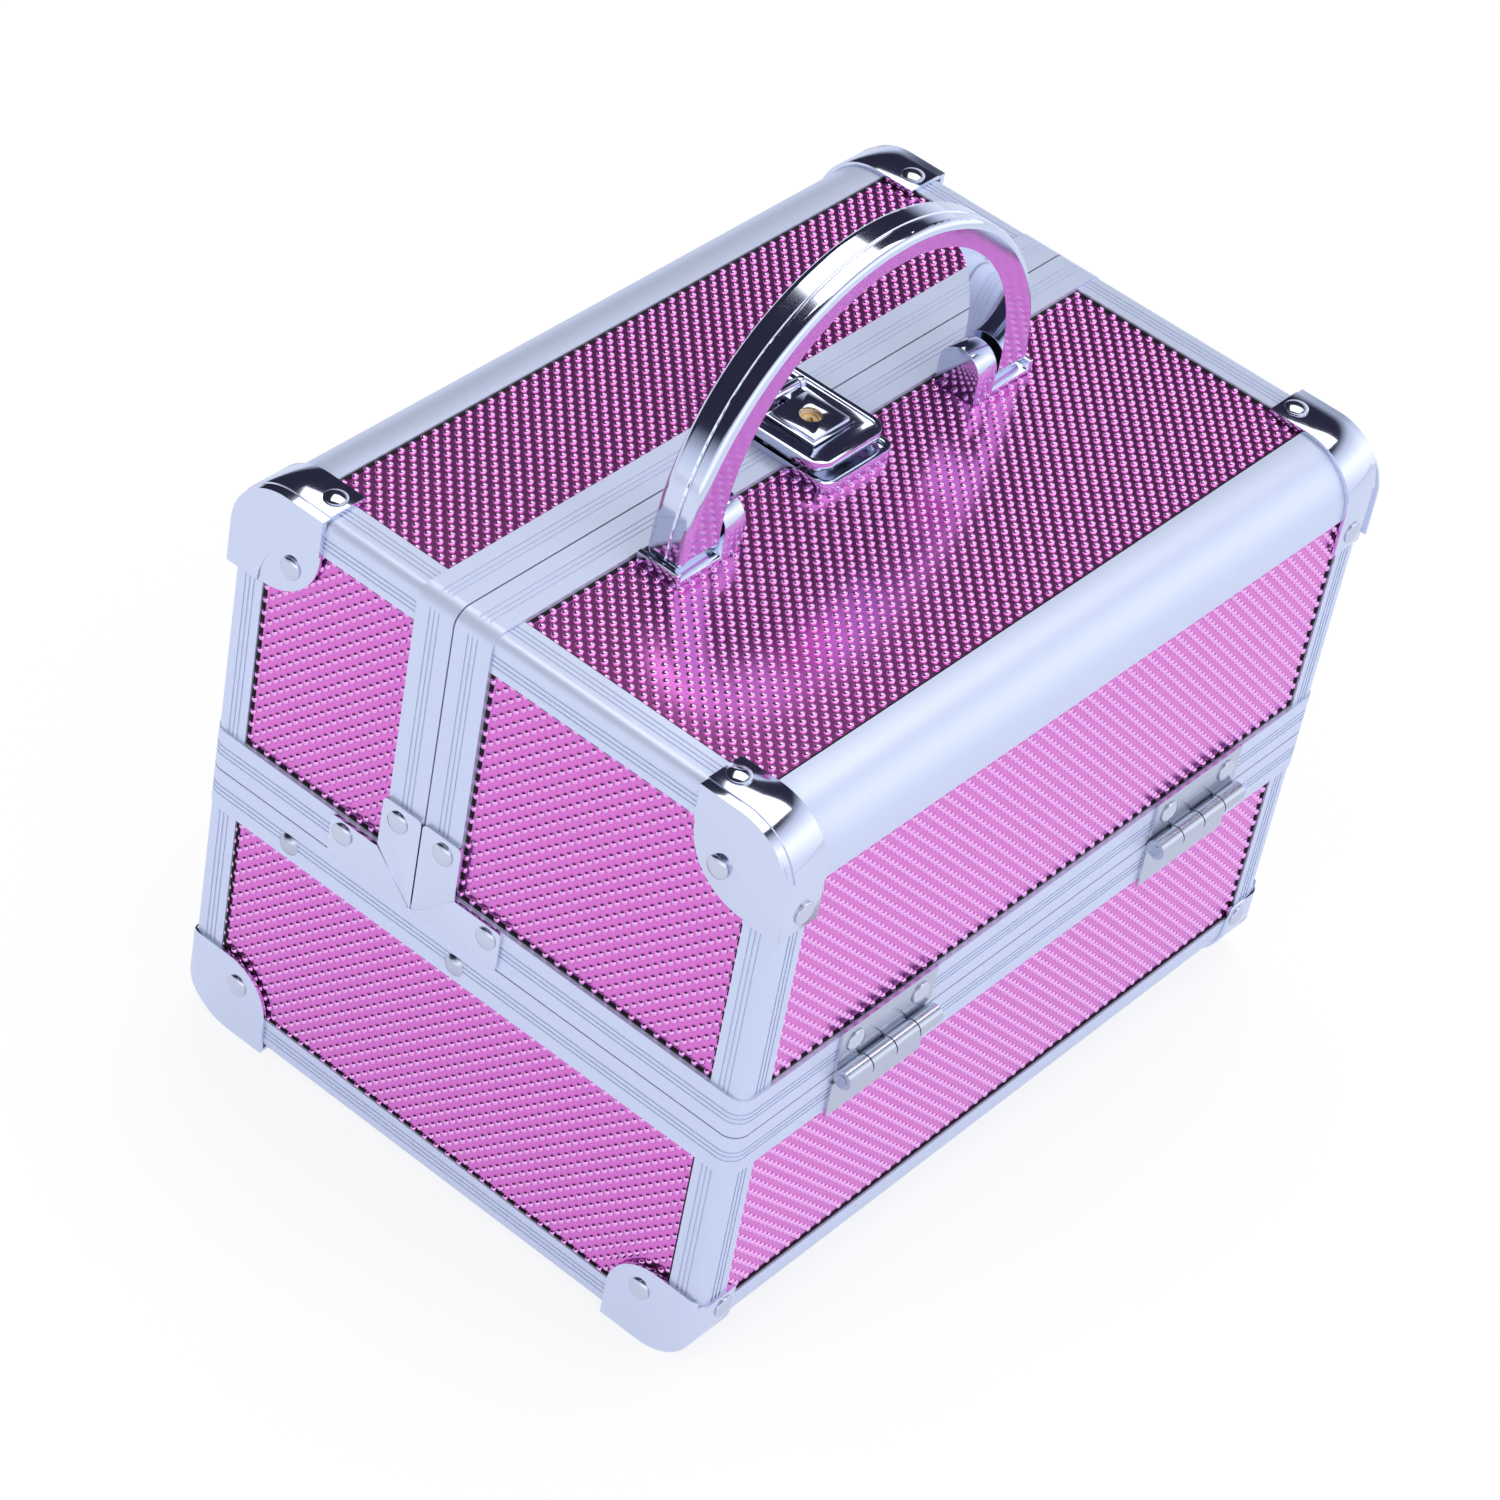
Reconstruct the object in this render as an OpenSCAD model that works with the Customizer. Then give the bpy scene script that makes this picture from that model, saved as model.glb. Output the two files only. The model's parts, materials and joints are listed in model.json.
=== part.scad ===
// Makeup storage case: aluminium-framed train case with two lids that meet off centre,
// a carrying handle, a key latch and one cantilever tray on parallel arms.
// X runs along the case, the front long side faces -Y, Z is up, the case rests on z = 0.

/* [Case] */
// Length over the rim bands
case_l = 200; // [180:1:260]
// Depth over the rim bands
case_w = 150; // [146:1:180]
// Height to the top of the arch bands
case_h = 150; // [140:1:170]
// Height at which the base meets the lids
split_z = 69.4; // [66:0.1:74]
// Place of the gap between the two lids, from the middle towards the rear
split_y = 14.6; // [12:0.1:17]
// Gap between the lids and between each lid and the base
seam_gap = 0.4; // [0.3:0.1:0.8]

/* [Boards and linings] */
// Thickness of the covered boards
board_t = 3; // [2:0.5:4]
// Depth of the boards behind the frame's face
board_inset = 0.8; // [0.6:0.1:1.2]
// Thickness of the lining inside
lining_t = 1; // [0.6:0.1:1.4]

/* [Frame] */
// How far the rim and arch bands stand out from the other frame pieces
band_proud = 0.6; // [0.4:0.1:1]
// Height of each rim band
rim_h = 10.4; // [9:0.1:12]
// Width of each arch band
arch_w = 10; // [9:0.1:12]
// Outer corner radius of the rim bands
rim_r = 4; // [3:0.1:4.4]
// Outer corner radius of the arch bands
arch_r = 4; // [3:0.5:6]
// Visible width of the posts and end edges
edge_w = 8.6; // [8:0.1:10]
// Corner radius of the posts and end edges
edge_r = 2.5; // [1.5:0.1:2.6]
// Radius of the round edges along the two long sides
round_r = 15; // [13:0.5:18]
// Depth of the solid edge inside the rims and arch bands
core_w = 4; // [3:0.5:5]
// Radius of the lining's lengthwise corners
lining_r = 10; // [9:0.5:11]
// Width of a groove in the frame sections
groove_w = 0.5; // [0.4:0.1:0.8]
// Depth of a groove in the frame sections
groove_d = 0.2; // [0.2:0.1:0.5]
// Spacing of the grooves
groove_pitch = 1.2; // [1:0.1:1.6]
// Height of the sealing tongue on the base rim
tongue_h = 3; // [2:0.5:4]

/* [Corner caps and brackets] */
// Thickness of the pressed caps and brackets
plate_t = 0.8; // [0.6:0.1:1.2]
// Reach of a lid cap along the end of the case
cap_y = 24.5; // [22:0.5:28]
// Reach of a lid cap along the front of the case
cap_x = 11; // [10:0.5:13]
// Reach of a lid cap down from the top
cap_z = 25; // [23:0.5:28]
// Thickness of the strap that wraps each top cap
strap_t = 0.4; // [0.3:0.1:0.6]
// Height of the strap's end below the top
strap_h = 10; // [8:0.5:12]
// Height of a base cap
foot_z = 21; // [20:0.5:24]
// Length of a bracket's upright leg above the split
tee_up = 24.5; // [22:0.5:28]
// Length of a bracket's level leg
tee_out = 24; // [22:0.5:28]
// Diameter of a rivet head
rivet_d = 5.4; // [4.6:0.1:6]
// Height of a rivet head
rivet_h = 1.2; // [0.8:0.1:1.6]

/* [Hinges] */
// Distance of each hinge's middle from the middle of the case
hinge_x = 54; // [50:1:62]
// Length of a hinge
hinge_l = 31; // [28:1:36]
// Number of knuckles in a hinge
knuckles = 4; // [4:2:6]
// Diameter of the hinge barrel
barrel_d = 4.6; // [4.2:0.1:5.4]
// Diameter of the hinge pin
hinge_pin_d = 2.4; // [2:0.1:2.8]
// Gap between knuckles
knuckle_gap = 0.3; // [0.2:0.1:0.5]
// Height of a hinge leaf above or below the barrel's axis
leaf_h = 12; // [11:0.5:13]
// Radial clearance of every pin in its bore
pin_play = 0.05; // [0.03:0.01:0.1]

/* [Handle] */
// Half the handle's outer width, at the pivots
handle_half = 57; // [56.5:0.1:57]
// Height of the handle above its pivots
handle_rise = 53.2; // [50:0.5:55]
// Width of the handle
handle_w = 10; // [9:0.2:10]
// Thickness of the handle at its top
handle_t = 5.4; // [4.5:0.1:6]
// Thickness of each limb at its pivot
limb_t = 11; // [9:0.1:11]
// Height of the pivot above the lid's frame
pivot_rise = 6; // [6:0.1:7]
// Outer wall of a lug
lug_wall = 1.3; // [1:0.1:1.8]
// Width of a lug
lug_w = 11; // [10.5:0.5:12]
// Thickness of a lug's ear
ear_t = 6.4; // [5:0.1:6.6]
// Diameter of the handle's pivot pins
handle_pin_d = 3; // [2.6:0.1:3.4]

/* [Latch] */
// Width of the latch plate and of the catch plate
latch_w = 23; // [21:0.5:26]
// Reach of the latch plate past the split
latch_reach = 20; // [18:0.5:22]
// Side of the square flap
flap_s = 13.4; // [12:0.1:14]
// Diameter of the key cylinder
key_d = 5; // [4:0.1:6]

/* [Tray] */
// Height of the tray
tray_h = 34; // [28:1:40]
// Wall of the tray
tray_t = 1.8; // [1.4:0.1:2.4]
// Rise of each arm from its lower to its upper pivot
arm_rise = 30; // [28:0.5:32]
// Lean of each arm to the rear
arm_lean = 13.5; // [12:0.1:14]
// Distance of the rear arms from the rear of the case
arm_inset = 25.1; // [24.5:0.1:27]
// Width of an arm
arm_w = 8.4; // [7.6:0.1:9]
// Thickness of an arm
arm_t = 1.4; // [1:0.1:1.6]
// Diameter of the arm rivets' shanks
arm_pin_d = 3; // [2.6:0.1:3.4]
// Height of the lower arm pivots below the split
arm_drop = 6.6; // [6:0.1:7]
// Clearance between moving flat faces
slide_gap = 0.3; // [0.3:0.05:0.4]

/* [Mirror] */
// Length of the mirror
mirror_l = 120; // [80:1:140]
// Height of the mirror
mirror_h = 46; // [36:1:52]

/* [Hidden] */
$fn = 64;
big = 400;
cut = 1;
// half sizes of the band, frame, board and lining faces
hl = case_l / 2;
hw = case_w / 2;
fx = hl - band_proud;
fy = hw - band_proud;
ft = case_h - band_proud;
fb = plate_t;
bx = fx - board_inset;
by = fy - board_inset;
bt = ft - board_inset;
bb = fb + board_inset;
ix = bx - board_t;
iy = by - board_t;
it = bt - board_t;
ib = bb + board_t;
lx = ix - lining_t;
ly = iy - lining_t;
lt = it - lining_t;
lb = ib + lining_t;
arc_r = round_r - 1.5;
base_top = split_z - seam_gap / 2;
lid_bot = split_z + seam_gap / 2;
front_d = hw + split_y - seam_gap / 2;
rear_d = hw - split_y - seam_gap / 2;
leaf_play = 0.3;
hinge_y = hw + barrel_d / 2 + leaf_play;
knuckle_l = hinge_l / knuckles;
pivot_y = split_y - arch_w - 6.8;
pivot_z = ft + pivot_rise;
ear_gap = 1.3;
ear_in = -handle_half + limb_t + ear_gap + ear_t;
handle_pin_in = ear_in - 1.2;
handle_pin_out = -handle_half + limb_t / 2;
handle_drop = (handle_half * handle_half - handle_rise * handle_rise) / (2 * handle_rise);
handle_r = handle_rise + handle_drop;
grip_half = handle_half - limb_t;
band_top = case_h;
catch_top = band_top + 1.6;
latch_low = band_top + 3;
latch_top = latch_low + 1.6;
flap_top = latch_top + 1.4;
flap_low = latch_low + 0.2;
flap_rear = split_y - 0.6;
flap_front = flap_rear - flap_s;
flap_pin_y = split_y + 2.3;
flap_pin_z = latch_top + 0.4;
flap_pin_d = 1.2;
flap_barrel_d = 2.6;
hook_w = 6;
hook_t = 0.8;
hook_y = flap_front + 0.5;
key_y = (flap_front + flap_rear) / 2;
stud_play = 0.7;
mirror_z = (lid_bot + lt) / 2 + 2;
latch_r = latch_w * 0.2;
latch_lip = latch_w * 0.06;
latch_front = split_y - latch_reach;
latch_rear = split_y + arch_w + 0.4;
catch_front = latch_front - 2.4;
arm_base_z = split_z - arm_drop;
front_arm_y = split_y - arch_w - 2.9;
rear_arm_y = hw - arm_inset;
stud_y = arm_lean - hinge_y;
stud_z = split_z + arm_rise;
arm_top_z = arm_base_z + arm_rise;
arm_x = lx - slide_gap;
hanger_t = 1;
hanger_x = arm_x - arm_t - slide_gap;
tray_x = hanger_x - hanger_t;
tray_front = stud_y - 4;
tray_rear = ly - 3.2;
hanger_h = tray_h * 0.27;
tray_low = arm_top_z + arm_w / 2 + 0.4;

// ---- shared forms ----
// a flat outline in Y and Z, carried along X
module along_x(x0, x1) {
    translate([x0, 0, 0]) rotate([90, 0, 90]) linear_extrude(x1 - x0) children();
}
// a flat outline in X and Z, carried along Y
module along_y(y0, y1) {
    translate([0, y1, 0]) rotate([90, 0, 0]) linear_extrude(y1 - y0) children();
}
module along_z(z0, z1) {
    translate([0, 0, z0]) linear_extrude(z1 - z0) children();
}
module span(x0, x1, y0, y1, z0, z1) {
    translate([x0, y0, z0]) cube([x1 - x0, y1 - y0, z1 - z0]);
}
module rounded(x0, x1, y0, y1, r) {
    translate([x0 + r, y0]) square([x1 - x0 - 2 * r, y1 - y0]);
    if (r > 0) {
        translate([x0, y0 + r]) square([x1 - x0, y1 - y0 - 2 * r]);
        for (x = [x0 + r, x1 - r], y = [y0 + r, y1 - r]) translate([x, y]) circle(r);
    }
}
module both_ends() {
    children();
    mirror([1, 0, 0]) children();
}
module both_sides() {
    children();
    mirror([0, 1, 0]) children();
}
// the outer form of the whole frame, grown by g
module frame_block(g) {
    intersection() {
        along_x(-fx - g, fx + g) rounded(-fy - g, fy + g, fb - g, ft + g, arc_r + g);
        along_z(fb - g - cut, ft + g + cut) rounded(-fx - g, fx + g, -fy - g, fy + g, edge_r + g);
    }
}
// the space that the covered boards fill
module board_block() {
    intersection() {
        along_x(-bx, bx) rounded(-by, by, bb, bt, arc_r - board_inset);
        span(-bx, bx, -by, by, bb, bt);
    }
}
// a domed rivet head that points along +Z from z = 0
module rivet(d = rivet_d, h = rivet_h) {
    r = (d * d / 4 + h * h) / (2 * h);
    intersection() {
        translate([0, 0, h - r]) sphere(r, $fn = 48);
        cylinder(d = d, h = h + cut);
    }
}
module rivet_up(x, y, z) { translate([x, y, z]) rivet(); }
module rivet_left(y, z, x = -hl - plate_t) { translate([x, y, z]) rotate([0, -90, 0]) rivet(); }
module rivet_front(x, z, y = -hw) { translate([x, y, z]) rotate([90, 0, 0]) rivet(); }
// grooves that run along X on a face, cut by slim bars
module groove_row(n, pitch = groove_pitch) {
    for (i = [0 : n - 1]) translate([(i - (n - 1) / 2) * pitch, 0]) square([groove_w, 2 * groove_d], center = true);
}

// ---- base ----
module arm_bores(d) {
    for (y = [front_arm_y, rear_arm_y])
        translate([-hl - cut, y, arm_base_z]) rotate([0, 90, 0]) cylinder(d = d, h = hl - lx + 2 * cut);
}
module base_front_panel() {
    color("orchid") span(-bx, bx, -by, -iy, fb + arc_r, base_top - core_w);
}
module base_rear_panel() {
    mirror([0, 1, 0]) base_front_panel();
}
module base_end_panels() {
    color("orchid") both_ends() difference() {
        along_x(-bx, -ix) intersection() {
            rounded(-iy, iy, ib, big, lining_r);
            translate([-iy, 0]) square([2 * iy, base_top - core_w]);
        }
        arm_bores(arm_pin_d);
    }
}
module base_floor() {
    color("orchid") span(-bx, bx, -fy + arc_r, fy - arc_r, bb, ib);
}
// rings of the rim bands, seen from above
module ring(r, x, y, x_in, y_in) {
    difference() {
        rounded(-x, x, -y, y, r);
        square([2 * x_in, 2 * y_in], center = true);
    }
}
module rim_grooves(z_mid) {
    for (i = [-1 : 1])
        along_z(z_mid + i * groove_pitch - groove_w / 2, z_mid + i * groove_pitch + groove_w / 2)
            difference() {
                square([2 * hl + 2, 2 * hw + 2], center = true);
                rounded(-hl + groove_d, hl - groove_d, -hw + groove_d, hw - groove_d, rim_r - groove_d);
            }
}
module base_rim() {
    color("lightsteelblue") difference() {
        union() {
            along_z(base_top - rim_h, base_top) ring(rim_r, hl, hw, bx, by);
            along_z(base_top - core_w, base_top) ring(0, bx, by, lx, ly);
            along_z(base_top, base_top + tongue_h) ring(0, ix - slide_gap, iy - slide_gap, lx, ly);
        }
        rim_grooves(base_top - rim_h / 2);
        both_ends() arm_bores(arm_pin_d);
    }
}
// an L section at each upright corner, between two heights
module post(z0, z1) {
    along_z(z0, z1) difference() {
        intersection() {
            ring(edge_r, fx, fy, bx, by);
            translate([-fx, -fy]) square(edge_w);
        }
        translate([-fx + edge_w * 0.6, -fy]) groove_row(3);
        translate([-fx, -fy + edge_w * 0.6]) rotate(90) groove_row(3);
    }
}
module base_posts() {
    color("lightsteelblue") both_sides() both_ends() post(fb + round_r, base_top - rim_h);
}
// the plain round section along a long side, at the bottom
module round_edge_low() {
    difference() {
        intersection() {
            frame_block(0);
            span(-fx, fx, -fy, -fy + round_r, fb, fb + round_r);
        }
        along_x(-fx - cut, fx + cut)
            rounded(-by, by, bb, bt, arc_r - board_inset);
    }
}
module base_long_edges() {
    color("lavender") both_sides() round_edge_low();
}
// an L section along an end, with its corner at the bottom
module end_edge_low(y0, y1) {
    along_y(y0, y1) difference() {
        rounded(-fx, fx, fb, ft, edge_r);
        translate([-bx, bb]) square([2 * bx, big]);
        translate([-fx + edge_w, fb - cut]) square(big);
        translate([-fx - cut, fb + edge_w]) square(big);
        translate([-fx + edge_w * 0.6, fb]) groove_row(3);
        translate([-fx, fb + edge_w * 0.6]) rotate(90) groove_row(3);
    }
}
module base_end_edges() {
    color("lightsteelblue") both_ends() end_edge_low(-fy + round_r, fy - round_r);
}
module cap_skin() {
    difference() {
        frame_block(plate_t);
        frame_block(0);
    }
}
module base_corner_cap() {
    intersection() {
        cap_skin();
        union() {
            along_x(-hl - 2, -fx) rounded(-big, -fy - plate_t + cap_y, -big, foot_z, round_r * 0.8);
            along_x(-fx, -fx + cap_x) rounded(-big, -fy - plate_t + cap_y, -big, foot_z - 1.5, 2);
        }
    }
}
module base_corner_caps() {
    color("silver") both_sides() both_ends() base_corner_cap();
}
module base_rivets() {
    color("gainsboro") both_sides() both_ends() {
        rivet_left(-fy + round_r, fb + arc_r, -fx - plate_t);
        rivet_front(-fx + cap_x - 3.4, fb + round_r, -fy - plate_t);
    }
}
// a lining with walls of one thickness, open at the top
module base_lining() {
    color("dimgray") difference() {
        along_x(-ix, ix) intersection() {
            rounded(-iy, iy, ib, big, lining_r);
            translate([-iy, 0]) square([2 * iy, base_top - core_w]);
        }
        along_x(-lx, lx) rounded(-ly, ly, lb, big, lining_r - lining_t);
        both_ends() arm_bores(arm_pin_d);
    }
}
// hinge leaf above the barrel, with every second knuckle starting at first
module hinge_leaf(first, bore) {
    reach = barrel_d / 2 + leaf_play;
    difference() {
        union() {
            span(-hinge_l / 2, hinge_l / 2, -hw - plate_t, -hw, split_z + reach, split_z + leaf_h);
            for (i = [first : 2 : knuckles - 1]) {
                x0 = -hinge_l / 2 + i * knuckle_l + knuckle_gap / 2;
                x1 = x0 + knuckle_l - knuckle_gap;
                span(x0, x1, -hw - plate_t, -hw, split_z + seam_gap / 2, split_z + reach);
                translate([x0, -hinge_y, split_z]) rotate([0, 90, 0])
                    cylinder(d = barrel_d, h = x1 - x0);
            }
        }
        translate([-hinge_l, -hinge_y, split_z]) rotate([0, 90, 0]) cylinder(d = bore, h = 2 * hinge_l);
    }
}
module place_hinges() {
    both_ends() translate([-hinge_x, 0, 0]) children();
}
module base_hinge_leaves() {
    color("silver") both_sides() place_hinges()
        translate([0, 0, 2 * split_z]) mirror([0, 0, 1]) hinge_leaf(1, hinge_pin_d);
}
module hinge_pins() {
    color("gainsboro") both_sides() place_hinges()
        translate([-hinge_l / 2, -hinge_y, split_z]) rotate([0, 90, 0])
            cylinder(d = hinge_pin_d, h = hinge_l);
}
module arm_pivots() {
    color("gainsboro") both_ends() for (y = [front_arm_y, rear_arm_y]) {
        translate([-hl, y, arm_base_z]) rotate([0, -90, 0]) rivet();
        translate([-hl, y, arm_base_z]) rotate([0, 90, 0]) cylinder(d = arm_pin_d, h = hl - arm_x + arm_t + slide_gap);
        translate([-arm_x + arm_t + slide_gap, y, arm_base_z]) rotate([0, 90, 0]) cylinder(d = arm_pin_d + 2, h = 0.8);
    }
}

// ---- lids: built with the long side at -Y and the meeting edge at y = -hw + d ----
module lid_top_panel(d) {
    color("orchid") span(-bx, bx, -fy + arc_r, -hw + d - core_w, it, bt);
}
module lid_long_panel() {
    color("orchid") span(-bx, bx, -by, -iy, lid_bot + core_w, ft - arc_r);
}
module lid_end_outline(d, y0, z1, r) {
    intersection() {
        rounded(y0, big, -big, z1, r);
        translate([y0, lid_bot + core_w]) square([-hw + d - y0, big]);
    }
}
module lid_end_panels(d) {
    color("orchid") both_ends() along_x(-bx, -ix) lid_end_outline(d - core_w, -iy, it, lining_r);
}
module lid_round_edge() {
    color("lavender") translate([0, 0, fb + ft]) mirror([0, 0, 1]) round_edge_low();
}
module lid_end_edges(d) {
    color("lightsteelblue") both_ends() translate([0, 0, fb + ft]) mirror([0, 0, 1])
        end_edge_low(-fy + round_r, -hw + d - arch_w);
}
module lid_posts() {
    color("lightsteelblue") both_ends() post(lid_bot + rim_h, ft - round_r);
}
module lid_rim(d) {
    color("lightsteelblue") intersection() {
        difference() {
            union() {
                along_z(lid_bot, lid_bot + rim_h) ring(rim_r, hl, hw, bx, by);
                along_z(lid_bot, lid_bot + core_w) ring(0, bx, by, ix, iy);
            }
            rim_grooves(lid_bot + rim_h / 2);
        }
        span(-big, big, -big, -hw + d, 0, big);
    }
}
// the arch over the lid, seen from the front
module arch(r, x, z, x_in, z_in, z0) {
    intersection() {
        difference() {
            rounded(-x, x, -big, z, r);
            translate([-x_in, -big]) square([2 * x_in, big + z_in]);
        }
        translate([-big, z0]) square(2 * big);
    }
}
module lid_arch_band(d) {
    e = -hw + d;
    color("lightsteelblue") difference() {
        union() {
            along_y(e - arch_w, e) arch(arch_r, hl, case_h, bx, bt, lid_bot + rim_h);
            along_y(e - core_w, e) arch(0, bx, bt, ix, it, lid_bot + core_w);
        }
        for (i = [-1 : 1])
            along_y(e - arch_w / 2 + i * groove_pitch - groove_w / 2,
                e - arch_w / 2 + i * groove_pitch + groove_w / 2)
                arch(0, big, big, hl - groove_d, case_h - groove_d, lid_bot + rim_h);
    }
}
// a pressed T joint: one leg up the arch band, one leg along the rim band
module lid_brackets(d) {
    e = -hw + d;
    color("silver") both_ends() difference() {
        along_x(-hl - plate_t, -hl) union() {
            rounded(e - arch_w - plate_t, e, lid_bot, lid_bot + tee_up, 1.4);
            rounded(e - tee_out, e, lid_bot, lid_bot + rim_h, 1.2);
        }
        along_x(-hl - plate_t - cut, -hl - plate_t + groove_d)
            translate([e, lid_bot]) rotate(135) translate([0, -groove_w / 2])
                square([1.5 * rim_h, groove_w]);
    }
}
module lid_corner_cap() {
    inner_y = -fy - plate_t + cap_y;
    low_z = ft + plate_t - cap_z;
    bead_r = round_r + 0.7;
    intersection() {
        cap_skin();
        union() {
            along_x(-hl - 2, -fx) rounded(-big, inner_y, low_z, big, round_r);
            along_x(-fx, -fx + cap_x) difference() {
                rounded(-big, inner_y, low_z, big, 2);
                translate([-big, 0]) square([big - fy - cut, low_z]);
            }
        }
    }
    along_x(-fx - plate_t - 0.5, -fx - plate_t) difference() {
        intersection() {
            rounded(-fy - plate_t, fy, fb, ft + plate_t, arc_r + plate_t);
            rounded(-big, inner_y, low_z, big, round_r);
        }
        translate([inner_y, low_z]) circle(bead_r);
    }
    along_x(-fx + 1, -fx + cap_x) intersection() {
        difference() {
            rounded(-fy - plate_t - strap_t, fy, fb, ft + plate_t + strap_t, arc_r + plate_t + strap_t);
            rounded(-fy - plate_t, fy, fb, ft + plate_t, arc_r + plate_t);
        }
        translate([-big, ft - strap_h]) square([big + inner_y, big]);
    }
}
module lid_corner_caps() {
    color("silver") both_ends() lid_corner_cap();
}
module lid_rivets(d) {
    e = -hw + d;
    color("gainsboro") both_ends() {
        rivet_up(-fx + cap_x * 0.55, -fy + cap_y - 4.4, ft + plate_t + strap_t);
        rivet_left(-fy + cap_y - 8.2, ft - cap_z * 0.64, -fx - plate_t);
        rivet_front(-fx + cap_x - 5, ft - cap_z * 0.8, -fy - plate_t);
        rivet_left(e - arch_w / 2 - 1.2, lid_bot + tee_up - 4.2, -hl - plate_t);
        rivet_left(e - tee_out + 3.6, lid_bot + rim_h / 2 + 1.8, -hl - plate_t);
        for (x = [-10.6, 10.6]) rivet_front(-hinge_x + x, split_z + 7.4, -hw - plate_t);
    }
}
module lid_lining(d) {
    color("dimgray") difference() {
        along_x(-ix, ix) lid_end_outline(d, -iy, it, lining_r);
        along_x(-lx, lx) rounded(-ly, big, -big, lt, lining_r - lining_t);
    }
}
module lid_hinge_leaves() {
    color("silver") place_hinges() hinge_leaf(0, hinge_pin_d + 2 * pin_play);
}

// ---- front lid ----
module stud_bore(d) {
    translate([-hl, stud_y, stud_z]) rotate([0, 90, 0]) cylinder(d = d, h = hl - tray_x);
}
module front_lid_top_panel() { lid_top_panel(front_d); }
module front_lid_long_panel() { lid_long_panel(); }
module front_lid_end_panels() { lid_end_panels(front_d); }
module front_lid_round_edge() { lid_round_edge(); }
module front_lid_end_edges() { lid_end_edges(front_d); }
module front_lid_posts() { lid_posts(); }
module front_lid_rim() { lid_rim(front_d); }
module front_lid_arch_band() { lid_arch_band(front_d); }
module front_lid_brackets() { lid_brackets(front_d); }
module front_lid_corner_caps() { lid_corner_caps(); }
module front_lid_rivets() { lid_rivets(front_d); }
module front_lid_lining() {
    difference() {
        lid_lining(front_d);
        both_ends() stud_bore(arm_pin_d);
    }
}
module front_lid_hinge_leaves() { lid_hinge_leaves(); }
// studs in the lid's ends that carry the tray as a third pair of arms
module tray_link_studs() {
    color("gainsboro") both_ends() translate([-ix, stud_y, stud_z]) rotate([0, 90, 0])
        cylinder(d = arm_pin_d, h = ix - tray_x - slide_gap);
}
// a cast lug: base plate, domed ear on the inner side, low wall on the outer side
module handle_lug() {
    x_in = ear_in;
    x_out = -handle_r - slide_gap - lug_wall;
    span(x_out, x_in, pivot_y - lug_w / 2, pivot_y + lug_w / 2, bt, bt + 1.5);
    along_x(x_in - ear_t, x_in) {
        translate([pivot_y - lug_w / 2, bt]) square([lug_w, pivot_z - bt]);
        translate([pivot_y, pivot_z]) circle(d = lug_w);
    }
    span(x_out, x_out + lug_wall, pivot_y - lug_w / 2, pivot_y + lug_w / 2, bt, bt + 3.4);
}
module handle_pin(d, x0, x1) {
    translate([x0, pivot_y, pivot_z]) rotate([0, 90, 0]) cylinder(d = d, h = x1 - x0);
}
module handle_lugs() {
    color("silver") both_ends() difference() {
        handle_lug();
        handle_pin(handle_pin_d, handle_pin_out, handle_pin_in);
    }
}
module handle_pins() {
    color("gainsboro") both_ends() handle_pin(handle_pin_d, handle_pin_out, handle_pin_in);
}
// rim of the cast disc that the arch is cut from, eased at the corners and fluted once
module handle_rim() {
    ease = 1.8;
    half = handle_w / 2;
    difference() {
        union() {
            translate([0, -half]) square([handle_r - ease, handle_w]);
            translate([handle_r / 2, 0]) rounded(0, handle_r / 2, -half, half, ease);
        }
        translate([handle_r + 0.3, 0.8]) circle(0.6, $fn = 24);
    }
}
// the arch: side view of the disc less the grip opening, with its limbs' ends rounded about the pins
module handle() {
    end_r = handle_w / 2 + 0.1;
    grip_z = pivot_z + handle_rise - handle_t - grip_half;
    color("silver") difference() {
        intersection() {
            translate([0, pivot_y, pivot_z - handle_drop]) rotate([90, 0, 0])
                rotate_extrude($fn = 128) handle_rim();
            along_x(-big, big) {
                translate([pivot_y, pivot_z]) circle(end_r);
                translate([-big, pivot_z]) square(2 * big);
            }
        }
        along_y(-big, big) {
            translate([0, grip_z]) circle(grip_half, $fn = 128);
            translate([-grip_half, 0]) square([2 * grip_half, grip_z]);
        }
        both_ends() handle_pin(handle_pin_d + 2 * pin_play, handle_pin_out - slide_gap, 0);
    }
}
// the catch on the front lid: a shallow tray with a cross wall behind the hook
module latch_catch() {
    wall = 1.2;
    e = -hw + front_d;
    half = latch_w / 2;
    color("silver") {
        difference() {
            along_z(band_top, catch_top) intersection() {
                rounded(-half, half, catch_front, big, 3);
                translate([-big, catch_front]) square([2 * big, e - catch_front]);
            }
            along_z(band_top + 0.6, catch_top + cut) difference() {
                rounded(-half + wall, half - wall, catch_front + wall, e - wall, 2);
                translate([-half, hook_y + hook_t + slide_gap]) square([latch_w, wall]);
            }
        }
        along_z(bt, band_top) intersection() {
            rounded(-half, half, catch_front, big, 3);
            translate([-big, catch_front]) square([2 * big, e - arch_w - catch_front]);
        }
    }
}

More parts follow.
